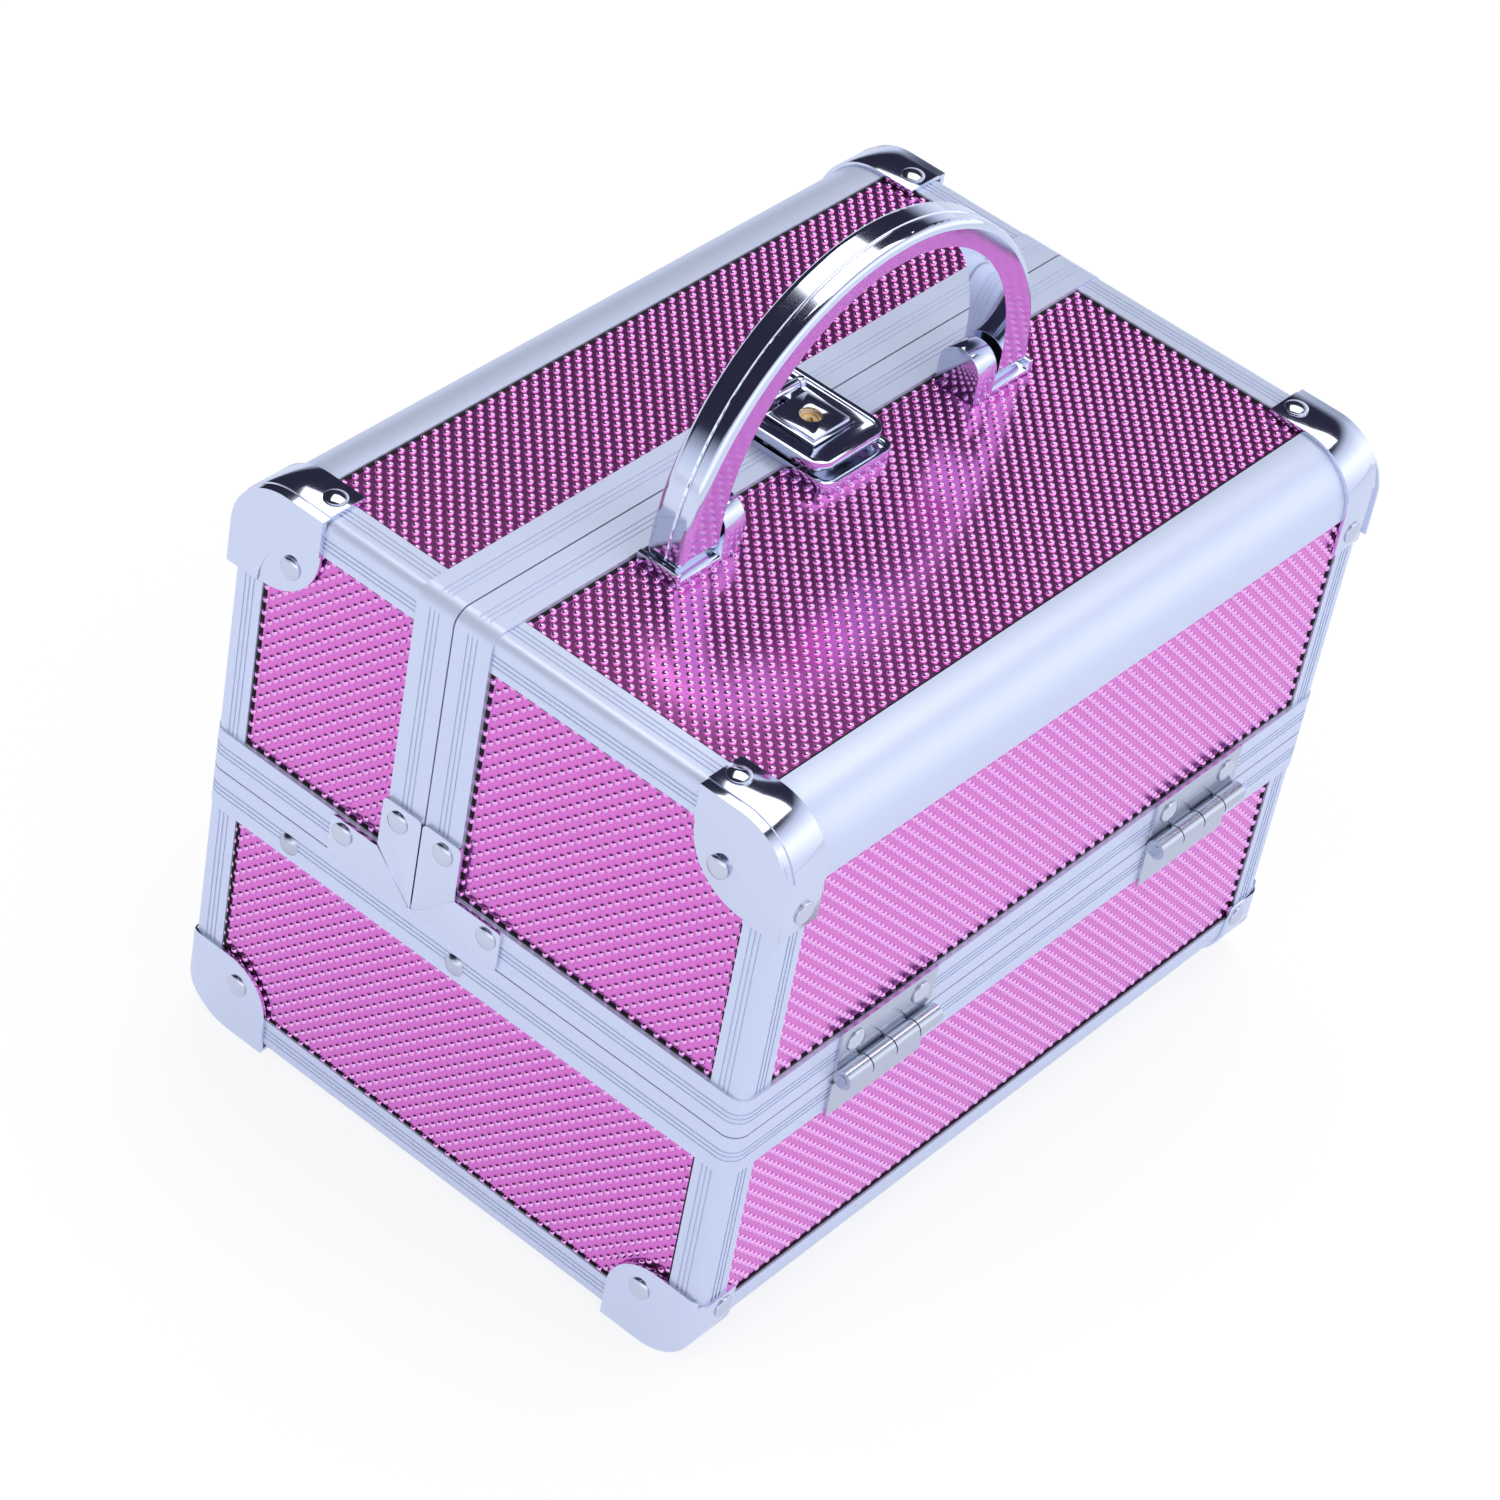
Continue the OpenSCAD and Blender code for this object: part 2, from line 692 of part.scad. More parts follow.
// ---- rear lid: the same forms, turned to the rear ----
module to_rear() { mirror([0, 1, 0]) children(); }
module rear_lid_top_panel() { to_rear() lid_top_panel(rear_d); }
module rear_lid_long_panel() { to_rear() lid_long_panel(); }
module rear_lid_end_panels() { to_rear() lid_end_panels(rear_d); }
module rear_lid_round_edge() { to_rear() lid_round_edge(); }
module rear_lid_end_edges() { to_rear() lid_end_edges(rear_d); }
module rear_lid_posts() { to_rear() lid_posts(); }
module rear_lid_rim() { to_rear() lid_rim(rear_d); }
module rear_lid_arch_band() { to_rear() lid_arch_band(rear_d); }
module rear_lid_brackets() { to_rear() lid_brackets(rear_d); }
module rear_lid_corner_caps() { to_rear() lid_corner_caps(); }
module rear_lid_rivets() { to_rear() lid_rivets(rear_d); }
module rear_lid_lining() { to_rear() lid_lining(rear_d); }
module rear_lid_hinge_leaves() { to_rear() lid_hinge_leaves(); }
module mirror_sheet(t) {
    along_y(ly - t, ly) rounded(-mirror_l / 2, mirror_l / 2, mirror_z - mirror_h / 2, mirror_z + mirror_h / 2, 3);
}
module mirror_glass() {
    color("white") mirror_sheet(2);
}

// ---- latch ----
// a pressed plate with a window for the flap; its foot stands on the rear arch band
module latch_plate() {
    half = latch_w / 2;
    window = flap_s / 2 + slide_gap;
    rear_e = hw - rear_d;
    color("silver") difference() {
        union() {
            along_z(latch_low, latch_top) rounded(-half, half, latch_front, latch_rear, latch_r);
            along_z(band_top, latch_low) intersection() {
                rounded(-half, half, latch_front, latch_rear, latch_r);
                translate([-half, rear_e]) square([latch_w, big]);
            }
            along_z(latch_top, latch_top + 0.4) difference() {
                rounded(-half, half, latch_front, latch_rear, latch_r);
                rounded(-half + latch_lip, half - latch_lip, latch_front + latch_lip, latch_rear - latch_lip,
                    latch_r - latch_lip);
            }
            for (s = [-1, 1]) latch_ear(s);
        }
        span(-window, window, flap_front - 0.5, flap_pin_y + flap_barrel_d / 2 + slide_gap,
            flap_pin_z - flap_barrel_d / 2 - slide_gap, big);
        span(-window, window, flap_front - 0.5, flap_rear + slide_gap, 0, big);
        flap_pin_bore(flap_pin_d);
    }
}
module latch_ear(s) {
    x = s * (flap_s / 2 + slide_gap + 0.9);
    translate([x, flap_pin_y, flap_pin_z]) rotate([0, 90, 0]) cylinder(d = flap_barrel_d, h = 1.8, center = true);
}
module flap_pin_bore(d) {
    half = flap_s / 2 + slide_gap + 1.8;
    translate([-half, flap_pin_y, flap_pin_z]) rotate([0, 90, 0]) cylinder(d = d, h = 2 * half);
}
module latch_flap_pin() {
    color("gainsboro") flap_pin_bore(flap_pin_d);
}
// the square flap that carries the lock, with its hinge barrel at the rear
module latch_flap() {
    half = flap_s / 2;
    ease = 0.8;
    color("silver") difference() {
        union() {
            span(-half, half, flap_front, flap_rear, flap_low, flap_top - ease);
            span(-half + ease, half - ease, flap_front + ease, flap_rear - ease, flap_top - ease, flap_top);
            for (s = [-1, 1]) span(s * half * 0.55 - 2, s * half * 0.55 + 2, flap_rear, flap_pin_y,
                flap_pin_z - flap_barrel_d / 2, flap_pin_z);
            translate([-half, flap_pin_y, flap_pin_z]) rotate([0, 90, 0])
                cylinder(d = flap_barrel_d, h = flap_s);
        }
        flap_pin_bore(flap_pin_d + 2 * pin_play);
        translate([0, key_y, flap_low - cut]) cylinder(d = key_d + 2 * pin_play, h = 3 * cut + flap_top - flap_low);
    }
}
module latch_hook() {
    color("gainsboro") span(-hook_w / 2, hook_w / 2, hook_y, hook_y + hook_t, band_top + 0.9, flap_low);
}
// brass plug with its keyway, a little below the flap's face
module key_cylinder() {
    color("goldenrod") translate([0, key_y, 0]) difference() {
        translate([0, 0, flap_low]) cylinder(d = key_d, h = flap_top - 0.9 - flap_low);
        translate([0, 0, flap_top - 0.9 - 0.5]) difference() {
            cylinder(d = key_d - 1.2, h = cut);
            cylinder(d = 1.2, h = cut);
        }
        span(-0.4, 0.4, -key_d / 2 - cut, 0, flap_top - 2.2, flap_top);
    }
}

// ---- tray on parallel arms ----
// a flat bar with round ends between two pivots
module bar(y0, z0, y1, z1, w) {
    l = norm([y1 - y0, z1 - z0]);
    translate([y0, z0]) rotate(atan2(z1 - z0, y1 - y0)) {
        translate([0, -w / 2]) square([l, w]);
        circle(d = w);
        translate([l, 0]) circle(d = w);
    }
}
module arm(y) {
    color("silver") both_ends() along_x(-arm_x, -arm_x + arm_t) difference() {
        bar(y, arm_base_z, y + arm_lean, arm_top_z, arm_w);
        for (p = [[y, arm_base_z], [y + arm_lean, arm_top_z]])
            translate(p) circle(d = arm_pin_d + 2 * pin_play);
    }
}
module front_arms() { arm(front_arm_y); }
module rear_arms() { arm(rear_arm_y); }
module tray() {
    corner = 3;
    color("dimgray") difference() {
        along_z(tray_low, tray_low + tray_h) rounded(-tray_x, tray_x, tray_front, tray_rear, corner);
        along_z(tray_low + tray_t, tray_low + tray_h + cut)
            rounded(-tray_x + tray_t, tray_x - tray_t, tray_front + tray_t, tray_rear - tray_t, corner - tray_t / 2);
    }
}
// side plates with drooping ears for the arms and a loose eye for the lid's stud
module tray_hangers() {
    eyes = [front_arm_y + arm_lean, rear_arm_y + arm_lean];
    color("silver") both_ends() along_x(-hanger_x, -tray_x) difference() {
        union() {
            translate([stud_y - arm_w * 0.4, tray_low]) square([eyes[1] - stud_y + arm_w * 0.4, hanger_h]);
            translate([stud_y, stud_z]) circle(d = arm_w);
            for (y = eyes) {
                translate([y, arm_top_z]) circle(d = arm_w);
                translate([y - arm_w / 2, arm_top_z]) square([arm_w, tray_low + hanger_h - arm_top_z]);
            }
        }
        for (y = eyes) translate([y, arm_top_z]) circle(d = arm_pin_d);
        translate([stud_y, stud_z]) circle(d = arm_pin_d + 2 * stud_play);
    }
}
module tray_pivots() {
    color("gainsboro") both_ends() for (y = [front_arm_y, rear_arm_y])
        translate([-arm_x, y + arm_lean, arm_top_z]) rotate([0, 90, 0]) {
            cylinder(d = arm_pin_d, h = arm_x - tray_x);
            translate([0, 0, arm_x - tray_x]) cylinder(d = arm_pin_d + 2, h = 0.8);
        }
}
module tray_dividers() {
    third = (tray_x - tray_t) * 2 / 3;
    color("dimgray") both_ends() span(-third / 2 - 0.6, -third / 2 + 0.6, tray_front + tray_t, tray_rear - tray_t,
        tray_low + tray_t, tray_low + tray_h - 4);
}

base_front_panel();
base_rear_panel();
base_end_panels();
base_floor();
base_rim();
base_posts();
base_long_edges();
base_end_edges();
base_corner_caps();
base_rivets();
base_lining();
base_hinge_leaves();
hinge_pins();
arm_pivots();
front_lid_top_panel();
front_lid_long_panel();
front_lid_end_panels();
front_lid_round_edge();
front_lid_end_edges();
front_lid_posts();
front_lid_rim();
front_lid_arch_band();
front_lid_brackets();
front_lid_corner_caps();
front_lid_rivets();
front_lid_lining();
front_lid_hinge_leaves();
tray_link_studs();
handle_lugs();
handle_pins();
latch_catch();
handle();
rear_lid_top_panel();
rear_lid_long_panel();
rear_lid_end_panels();
rear_lid_round_edge();
rear_lid_end_edges();
rear_lid_posts();
rear_lid_rim();
rear_lid_arch_band();
rear_lid_brackets();
rear_lid_corner_caps();
rear_lid_rivets();
rear_lid_lining();
rear_lid_hinge_leaves();
latch_plate();
latch_flap_pin();
mirror_glass();
latch_flap();
latch_hook();
key_cylinder();
front_arms();
rear_arms();
tray();
tray_hangers();
tray_pivots();
tray_dividers();
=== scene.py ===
import json
import math

import bmesh
import bpy
from mathutils import Matrix, Vector

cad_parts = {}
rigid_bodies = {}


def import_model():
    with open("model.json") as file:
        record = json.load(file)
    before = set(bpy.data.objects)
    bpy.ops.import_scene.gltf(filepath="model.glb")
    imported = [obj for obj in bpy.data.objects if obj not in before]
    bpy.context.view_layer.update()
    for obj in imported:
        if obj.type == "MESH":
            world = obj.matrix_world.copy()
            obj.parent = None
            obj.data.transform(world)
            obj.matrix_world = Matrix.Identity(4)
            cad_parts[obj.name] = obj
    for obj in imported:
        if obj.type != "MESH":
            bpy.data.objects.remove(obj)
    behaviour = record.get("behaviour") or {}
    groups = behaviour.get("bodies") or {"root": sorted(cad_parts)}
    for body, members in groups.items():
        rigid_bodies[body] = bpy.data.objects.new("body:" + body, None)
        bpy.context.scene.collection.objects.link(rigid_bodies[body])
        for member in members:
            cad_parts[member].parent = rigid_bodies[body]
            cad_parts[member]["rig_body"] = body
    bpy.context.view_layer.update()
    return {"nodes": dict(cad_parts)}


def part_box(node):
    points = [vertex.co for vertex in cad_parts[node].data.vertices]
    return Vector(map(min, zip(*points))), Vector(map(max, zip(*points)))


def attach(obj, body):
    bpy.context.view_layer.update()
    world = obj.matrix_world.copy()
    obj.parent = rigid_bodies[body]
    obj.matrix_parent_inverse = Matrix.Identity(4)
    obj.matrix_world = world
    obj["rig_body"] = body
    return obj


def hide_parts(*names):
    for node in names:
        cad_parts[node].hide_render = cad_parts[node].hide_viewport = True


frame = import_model()
node = frame["nodes"]
mm = 0.001
shells = ("base", "front_lid", "rear_lid")

# ---------------------------------------------------------------------------
# Panels.
# Thin fibre boards covered with a metallised plastic film that is embossed
# with pearls in staggered rows. The boards are cut to size and slide into the
# frame, and the pearls stop a little short of it. The film between the pearls
# is a darker copy of the pearl film: painted shade in the valleys.
# ---------------------------------------------------------------------------
film_pink = "#F6B2EA"
# Darker copy of film_pink: painted shade in the valleys between the pearls.
valley_pink_painted_shade = "#EA7ED4"
pearl_pitch = 2.4 * mm
pearl_width = 1.7 * mm
pearl_height = 0.6 * mm
pearl_segments, pearl_rings = 8, 6
bare_length, bare_height = 8 * mm, 4 * mm
equator_slack = 0.01 * mm


def paint(hex_colour):
    """A written sRGB colour as the linear values a shader socket takes."""
    channels = [int(hex_colour[i:i + 2], 16) / 255 for i in (1, 3, 5)]
    return [c / 12.92 if c <= 0.04045 else ((c + 0.055) / 1.055) ** 2.4 for c in channels] + [1]


def finish(name, colour, **sockets):
    """A material with one shader, whose plain sockets are set here."""
    material = bpy.data.materials.new(name)
    material.use_nodes = True
    shader = material.node_tree.nodes["Principled BSDF"]
    shader.inputs["Base Color"].default_value = paint(colour)
    for socket, value in sockets.items():
        shader.inputs[socket.replace("_", " ").title()].default_value = value
    material.diffuse_color = paint(colour)
    return material


def cover(node_name, material):
    """Gives a CAD piece this finish all over."""
    mesh = node[node_name].data
    mesh.materials.clear()
    mesh.materials.append(material)


def maths_in(tree):
    """Adds one maths node per call; each value is a number or a node's socket."""
    def maths(operation, *values, clamp=False):
        step = tree.nodes.new("ShaderNodeMath")
        step.operation = operation
        step.use_clamp = clamp
        for socket, value in zip(step.inputs, values):
            if isinstance(value, (int, float)):
                socket.default_value = value
            else:
                tree.links.new(value, socket)
        return step.outputs[0]
    return maths


def new_tree(name, **inputs):
    """An empty geometry tree, the values it is given and the place of its result."""
    tree = bpy.data.node_groups.new(name, "GeometryNodeTree")
    for label, kind in inputs.items():
        tree.interface.new_socket(label.replace("_", " ").title(), in_out="INPUT",
                                  socket_type="NodeSocket" + kind)
    tree.interface.new_socket("Geometry", in_out="OUTPUT", socket_type="NodeSocketGeometry")
    given = tree.nodes.new("NodeGroupInput").outputs
    return tree, given, tree.nodes.new("NodeGroupOutput").inputs[0]


def place_of_points(tree):
    """The X, Y and Z of each point."""
    position = tree.nodes.new("GeometryNodeInputPosition")
    parts = tree.nodes.new("ShaderNodeSeparateXYZ")
    tree.links.new(position.outputs[0], parts.inputs[0])
    return parts.outputs


def ball_in(tree, segments, rings, radius):
    """A sphere whose poles are on the Z axis."""
    ball = tree.nodes.new("GeometryNodeMeshUVSphere")
    ball.inputs["Segments"].default_value = segments
    ball.inputs["Rings"].default_value = rings
    tree.links.new(radius, ball.inputs["Radius"])
    return ball.outputs["Mesh"]


def pressed(tree, solid, new_height):
    """A smooth solid whose points take the height that new_height gives for their Z."""
    nodes, link = tree.nodes, tree.links.new
    parts = place_of_points(tree)
    place = nodes.new("ShaderNodeCombineXYZ")
    press = nodes.new("GeometryNodeSetPosition")
    soft = nodes.new("GeometryNodeSetShadeSmooth")
    link(parts["X"], place.inputs["X"])
    link(parts["Y"], place.inputs["Y"])
    link(new_height(parts["Z"]), place.inputs["Z"])
    link(solid, press.inputs["Geometry"])
    link(place.outputs[0], press.inputs["Position"])
    link(press.outputs[0], soft.inputs["Geometry"])
    return soft.outputs[0]


def dressed(tree, instances, material, result):
    """Makes instances real and gives them a material, as the tree's result."""
    solid = tree.nodes.new("GeometryNodeRealizeInstances")
    dress = tree.nodes.new("GeometryNodeSetMaterial")
    tree.links.new(instances, solid.inputs[0])
    tree.links.new(solid.outputs[0], dress.inputs["Geometry"])
    tree.links.new(material, dress.inputs["Material"])
    tree.links.new(dress.outputs[0], result)


def pearl_sheet_tree():
    """A flat lattice of low domes in the XY plane, then turned and put in place."""
    tree, given, result = new_tree(
        "embossed pearl sheet", length="Float", height="Float", pitch="Float",
        pearl_width="Float", pearl_height="Float", centre="Vector", turn="Vector", film="Material")
    nodes, link, maths = tree.nodes, tree.links.new, maths_in(tree)

    cell = maths("MULTIPLY", given["Pitch"], math.sqrt(2))
    lattice = nodes.new("GeometryNodeJoinGeometry")
    for shift in (0, 1):
        grid = nodes.new("GeometryNodeMeshGrid")
        for side, axis in (("Length", "X"), ("Height", "Y")):
            cells = maths("FLOOR", maths("DIVIDE", maths("SUBTRACT", given[side], cell), cell))
            link(maths("ADD", cells, 2 - shift), grid.inputs["Vertices " + axis])
            span = maths("MULTIPLY", maths("SUBTRACT", cells, shift - 1), cell)
            link(span, grid.inputs["Size " + axis])
        link(grid.outputs["Mesh"], lattice.inputs[0])

    radius = maths("MULTIPLY", given["Pearl Width"], 0.5)
    trim = nodes.new("GeometryNodeDeleteGeometry")
    trim.domain = "POINT"
    link(ball_in(tree, pearl_segments, pearl_rings, radius), trim.inputs["Geometry"])
    link(maths("LESS_THAN", place_of_points(tree)["Z"], -equator_slack), trim.inputs["Selection"])
    flatter = maths("DIVIDE", given["Pearl Height"], radius)
    pearl = pressed(tree, trim.outputs[0], lambda z: maths("MULTIPLY", z, flatter))

    spread = nodes.new("GeometryNodeInstanceOnPoints")
    link(lattice.outputs[0], spread.inputs["Points"])
    link(pearl, spread.inputs["Instance"])
    turn = nodes.new("FunctionNodeEulerToRotation")
    link(given["Turn"], turn.inputs[0])
    stand = nodes.new("GeometryNodeTransform")
    link(spread.outputs[0], stand.inputs["Geometry"])
    link(given["Centre"], stand.inputs["Translation"])
    link(turn.outputs[0], stand.inputs["Rotation"])
    dressed(tree, stand.outputs[0], given["Film"], result)
    return tree


def grown(name, tree, mesh=None, **values):
    """Runs a node tree once and returns its result as a plain object at the origin."""
    seed = bpy.data.objects.new(name + " seed", mesh or bpy.data.meshes.new(name + " seed"))
    bpy.context.scene.collection.objects.link(seed)
    modifier = seed.modifiers.new(name, "NODES")
    modifier.node_group = tree
    for item in tree.interface.items_tree:
        key = item.name.replace(" ", "_").lower()
        if item.in_out == "INPUT" and key in values:
            modifier[item.identifier] = values[key]
    evaluated = seed.evaluated_get(bpy.context.evaluated_depsgraph_get())
    result = bpy.data.meshes.new_from_object(evaluated)
    bpy.data.objects.remove(seed)
    piece = bpy.data.objects.new(name, result)
    result.name = name
    bpy.context.scene.collection.objects.link(piece)
    return piece


def joined(name, pieces):
    """Makes one object of several."""
    with bpy.context.temp_override(active_object=pieces[0], object=pieces[0],
                                   selected_objects=pieces, selected_editable_objects=pieces):
        bpy.ops.object.join()
    pieces[0].name = name
    pieces[0].data.name = name
    return pieces[0]


pearl_film = finish("metallised pearl film", film_pink, metallic=0.97, roughness=0.12)
# The same film in a darker colour on the boards: painted shade between the pearls.
valley_film_painted_shade = finish("film between the pearls", valley_pink_painted_shade, metallic=0.97, roughness=0.16)
pearl_tree = pearl_sheet_tree()
quarter = math.radians(90)
turn_to = {"-X": (quarter, 0, -quarter), "+X": (quarter, 0, quarter),
           "-Y": (quarter, 0, 0), "+Y": (quarter, 0, 2 * quarter), "+Z": (0, 0, 0)}


def pearls_on(node_name, facing):
    """Pearls over one face of a panel, a little short of the board's edges."""
    low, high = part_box(node_name)
    middle, span = (low + high) / 2, high - low
    axis = "XYZ".index(facing[1])
    middle[axis] = (high if facing[0] == "+" else low)[axis]
    length = span.y if axis == 0 else span.x
    height = span.y if axis == 2 else span.z
    return grown(node_name + " pearls", pearl_tree,
                 length=length - bare_length, height=height - bare_height,
                 pitch=pearl_pitch, pearl_width=pearl_width, pearl_height=pearl_height,
                 centre=middle, turn=turn_to[facing], film=pearl_film)


for body, others in (
        ("base", (("base_front_panel", "-Y"), ("base_rear_panel", "+Y"))),
        ("front_lid", (("front_lid_long_panel", "-Y"), ("front_lid_top_panel", "+Z"))),
        ("rear_lid", (("rear_lid_long_panel", "+Y"), ("rear_lid_top_panel", "+Z")))):
    ends = body + "_end_panels"
    cover(ends, valley_film_painted_shade)
    end_pearls = joined(body + "_end_pearls", [pearls_on(ends, "-X"), pearls_on(ends, "+X")])
    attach(end_pearls, body)
    for panel, facing in others:
        cover(panel, valley_film_painted_shade)
        sheet = pearls_on(panel, facing)
        sheet.name = sheet.data.name = panel.replace("panel", "pearls")
        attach(sheet, body)

# ---------------------------------------------------------------------------
# Painted shadow strips.
# A thin black ring laid on each sheet where it meets the frame: painted shade
# that stands for the dark gap under the frame's lip, a thin dark line between
# the pearls and the frame.
# ---------------------------------------------------------------------------
# Painted shade: a black strip standing for the shade under the frame's lip.
tape = finish("black paint for the frame's shadow line", "#0E0B10", roughness=0.9)
shadow_strip_width, shadow_strip_height = 0.7 * mm, 0.3 * mm
case_half_width, case_height = 75 * mm, 150 * mm
bar, rail, corner = 8.6 * mm, 10.4 * mm, 15 * mm
inset = 0.6 * mm


def painted_shadow_ring(panel, facing, low, high):
    """A thin closed black ring inside an opening, painted shade along the frame; low and high are
    its two corners.
    """
    box_low, box_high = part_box(panel)
    axis = "XYZ".index(facing[1])
    u, v = [k for k in range(3) if k != axis]
    side = 1 if facing[0] == "+" else -1
    level = (box_high if side > 0 else box_low)[axis]
    points = []
    for height in (-shadow_strip_height, shadow_strip_height):
        for inward in (0, shadow_strip_width):
            for at_u, at_v in ((0, 0), (1, 0), (1, 1), (0, 1)):
                point = Vector((0, 0, 0))
                point[axis] = level + side * height
                point[u] = (high[0] - inward) if at_u else (low[0] + inward)
                point[v] = (high[1] - inward) if at_v else (low[1] + inward)
                points.append(point)
    faces = []
    for k in range(4):
        n = (k + 1) % 4
        faces += [(k, n, 4 + n, 4 + k), (8 + k, 12 + k, 12 + n, 8 + n),
                  (k, 8 + k, 8 + n, n), (4 + k, 4 + n, 12 + n, 12 + k)]
    ring = bpy.data.meshes.new("tape")
    ring.from_pydata(points, [], faces)
    shape = bmesh.new()
    shape.from_mesh(ring)
    bmesh.ops.recalc_face_normals(shape, faces=shape.faces)
    shape.to_mesh(ring)
    shape.free()
    ring.materials.append(tape)
    piece = bpy.data.objects.new("tape", ring)
    bpy.context.scene.collection.objects.link(piece)
    return piece


for body in shells:
    rim_low, rim_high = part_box(body + "_rim")
    x, y, top = rim_high.x - inset, case_half_width - inset, case_height - inset
    y_low, y_high = -y + bar, y - bar
    if body == "base":
        end_heights = (bar + inset, rim_high.z - rail)
        wall_heights = (corner + inset, rim_high.z - rail)
        walls = (("base_front_panel", "-Y"), ("base_rear_panel", "+Y"))
    else:
        band_low, band_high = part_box(body + "_arch_band")
        end_heights = (rim_low.z + rail, top - bar)
        wall_heights = (rim_low.z + rail, top - corner)
        if body == "front_lid":
            walls = (("front_lid_long_panel", "-Y"),)
            y_high = band_low.y
            top_depths = (-y + corner, y_high)
        else:
            walls = (("rear_lid_long_panel", "+Y"),)
            y_low = band_high.y
            top_depths = (y_low, y - corner)
    rings = [painted_shadow_ring(body + "_end_panels", facing,
                        (y_low, end_heights[0]), (y_high, end_heights[1]))
             for facing in ("-X", "+X")]
    rings += [painted_shadow_ring(panel, facing, (-x + bar, wall_heights[0]), (x - bar, wall_heights[1]))
              for panel, facing in walls]
    if body != "base":
        rings.append(painted_shadow_ring(body + "_top_panel", "+Z",
                                (-x + bar, top_depths[0]), (x - bar, top_depths[1])))
    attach(joined(body + "_packing_strips", rings), body)

# ---------------------------------------------------------------------------
# Underside board.
# A plain black hardboard sheet that closes the base, let in under the frame.
# ---------------------------------------------------------------------------
hardboard = finish("black hardboard", "#17171A", roughness=0.6)
cover("base_floor", hardboard)

# ---------------------------------------------------------------------------
# Frame extrusions.
# Aluminium sections with fine grooves, sawn to length and mitred, satin
# anodised. Their die lines run along the bar, so they only vary across it.
# ---------------------------------------------------------------------------
aluminium_colour = "#C9D1E8"
die_line_height = 0.03 * mm
die_line_pitch = 0.45 * mm
along_the_bar = 0.004


def drawn_aluminium(name, across):
    """Satin aluminium whose die lines vary along the axes named in across."""
    material = finish(name, aluminium_colour, metallic=0.45, roughness=0.38)
    nodes, link = material.node_tree.nodes, material.node_tree.links.new
    place = nodes.new("ShaderNodeTexCoord")
    stretch = nodes.new("ShaderNodeMapping")
    stretch.inputs["Scale"].default_value = [1 if axis in across else along_the_bar
                                             for axis in "XYZ"]
    lines = nodes.new("ShaderNodeTexNoise")
    lines.inputs["Scale"].default_value = 1 / die_line_pitch
    lines.inputs["Detail"].default_value = 3
    bump = nodes.new("ShaderNodeBump")
    bump.inputs["Distance"].default_value = die_line_height
    bump.inputs["Strength"].default_value = 0.5
    link(place.outputs["Object"], stretch.inputs["Vector"])
    link(stretch.outputs[0], lines.inputs["Vector"])
    link(lines.outputs["Fac"], bump.inputs["Height"])
    link(bump.outputs[0], nodes["Principled BSDF"].inputs["Normal"])
    return material


for material_name, across, bars in (
        ("aluminium rail, level", "Z", ("base_rim", "front_lid_rim", "rear_lid_rim")),
        ("aluminium rail, over the lid", "Y", ("front_lid_arch_band", "rear_lid_arch_band")),
        ("aluminium post", "XY", ("base_posts", "front_lid_posts", "rear_lid_posts")),
        ("aluminium edge, long", "YZ",
         ("base_long_edges", "front_lid_round_edge", "rear_lid_round_edge")),
        ("aluminium edge, short", "XZ",
         ("base_end_edges", "front_lid_end_edges", "rear_lid_end_edges"))):
    aluminium = drawn_aluminium(material_name, across)
    for name in bars:
        cover(name, aluminium)

# ---------------------------------------------------------------------------
# Linings.
# Black foam, hot pressed to the inside of each shell, with a matt skin.
# ---------------------------------------------------------------------------
foam = finish("pressed black foam", "#1B1B1F", roughness=0.85)
for body in shells:
    cover(body + "_lining", foam)

# ---------------------------------------------------------------------------
# Corner caps and brackets.
# Sheet steel, pressed to shape, then bright chromium plated.
# ---------------------------------------------------------------------------
chrome = finish("chromium plate", "#DEE3F2", metallic=1, roughness=0.1)
weld_distance = 0.002 * mm
flat_within, eased_from, smooth_below = 1, 38, 50  # degrees


def smooth_by_angle(mesh, degrees=28):
    """Rounds shade smoothly and real edges stay crisp."""
    for polygon in mesh.polygons:
        polygon.use_smooth = True
    mesh.set_sharp_from_angle(angle=math.radians(degrees))


def eased(node_name, material, width=0.25 * mm):
    """The same pressing with the small edge round that forming and plating leave."""
    mesh = node[node_name].data.copy()
    piece = bpy.data.objects.new(node_name + "_eased", mesh)
    bpy.context.scene.collection.objects.link(piece)
    mesh.materials.clear()
    mesh.materials.append(material)
    weld = piece.modifiers.new("weld", "WELD")
    weld.merge_threshold = weld_distance
    planar = piece.modifiers.new("planar", "DECIMATE")
    planar.decimate_type = "DISSOLVE"
    planar.angle_limit = math.radians(flat_within)
    bevel = piece.modifiers.new("bevel", "BEVEL")
    bevel.width = width
    bevel.segments = 2
    bevel.limit_method = "ANGLE"
    bevel.angle_limit = math.radians(eased_from)
    bevel.harden_normals = False
    piece.data = bpy.data.meshes.new_from_object(
        piece.evaluated_get(bpy.context.evaluated_depsgraph_get()))
    piece.modifiers.clear()
    piece.data.name = piece.name
    smooth_by_angle(piece.data, smooth_below)
    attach(piece, node[node_name]["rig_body"])
    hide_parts(node_name)
    return piece


for name in ("base_corner_caps", "front_lid_corner_caps", "rear_lid_corner_caps",
             "front_lid_brackets", "rear_lid_brackets"):
    eased(name, chrome)

# ---------------------------------------------------------------------------
# Rivets.
# Tubular steel rivets with low domed heads, nickel plated, set by machine
# through the caps, the brackets and the frame.
# ---------------------------------------------------------------------------
nickel = finish("bright nickel", "#D6D9E4", metallic=1, roughness=0.12)
head_segments, head_rings = 32, 24
dome_power, dome_share, wall_steepness = 1.6, 0.7, 8
micrometre = 0.001 * mm


